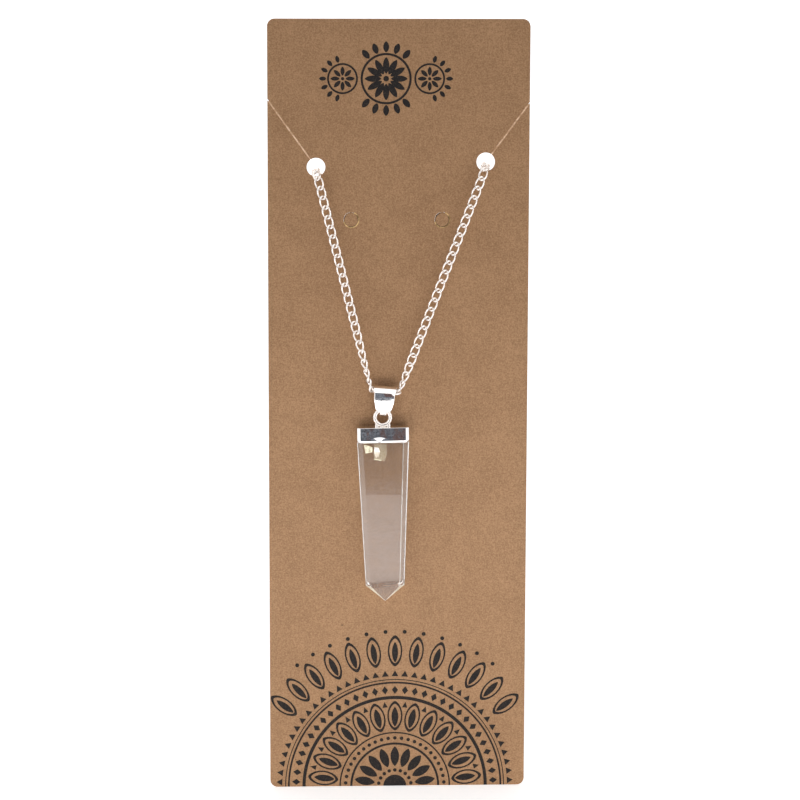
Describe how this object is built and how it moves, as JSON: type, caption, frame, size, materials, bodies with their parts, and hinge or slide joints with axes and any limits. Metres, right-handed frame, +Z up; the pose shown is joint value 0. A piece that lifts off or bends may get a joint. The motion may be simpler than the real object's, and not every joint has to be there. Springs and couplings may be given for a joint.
{
  "type": "crystal point pendant necklace on a display card",
  "caption": "Faceted clear crystal point with a sheet cap, ring and bail, free to swing on a fine curb chain that hangs through an upright kraft display card.",
  "frame": {"origin": "middle of the card's foot edge, midway through its thickness", "axes": "+Z up the card, +X across the card to the right seen from the front, +Y to the card's back; the pendant hangs on the -Y side"},
  "size_m": [0.07, 0.0108, 0.21],
  "materials": {
    "kraft_card": "matt brown kraft with fine fibres and a dark printed design",
    "print_ink": "matt near-black ink of the card's printed design",
    "silver_chain": "bright silver plate on brass wire",
    "silver": "mirror-polished silver plate on brass sheet",
    "clear_quartz": "polished clear quartz with a small flaw near its top"
  },
  "bodies": {
    "necklace_on_card": {"card": "kraft_card", "chain_left": "silver_chain", "chain_right": "silver_chain", "clasp": "silver_chain"},
    "bail_loop": {"bail": "silver"},
    "pendant": {"cap": "silver", "crystal": "clear_quartz"}
  },
  "joints": [
    {"name": "bail_swing", "type": "hinge", "parent": "necklace_on_card", "child": "bail_loop", "pos_m": [-0.00385, -0.0036, 0.1096], "axis": [-1, 0, 0], "range_deg": [0, 90]},
    {"name": "pendant_swing", "type": "hinge", "parent": "bail_loop", "child": "pendant", "pos_m": [-0.00436, -0.0036, 0.10561], "axis": [-1, 0, 0], "range_deg": [0, 38]}
  ]
}
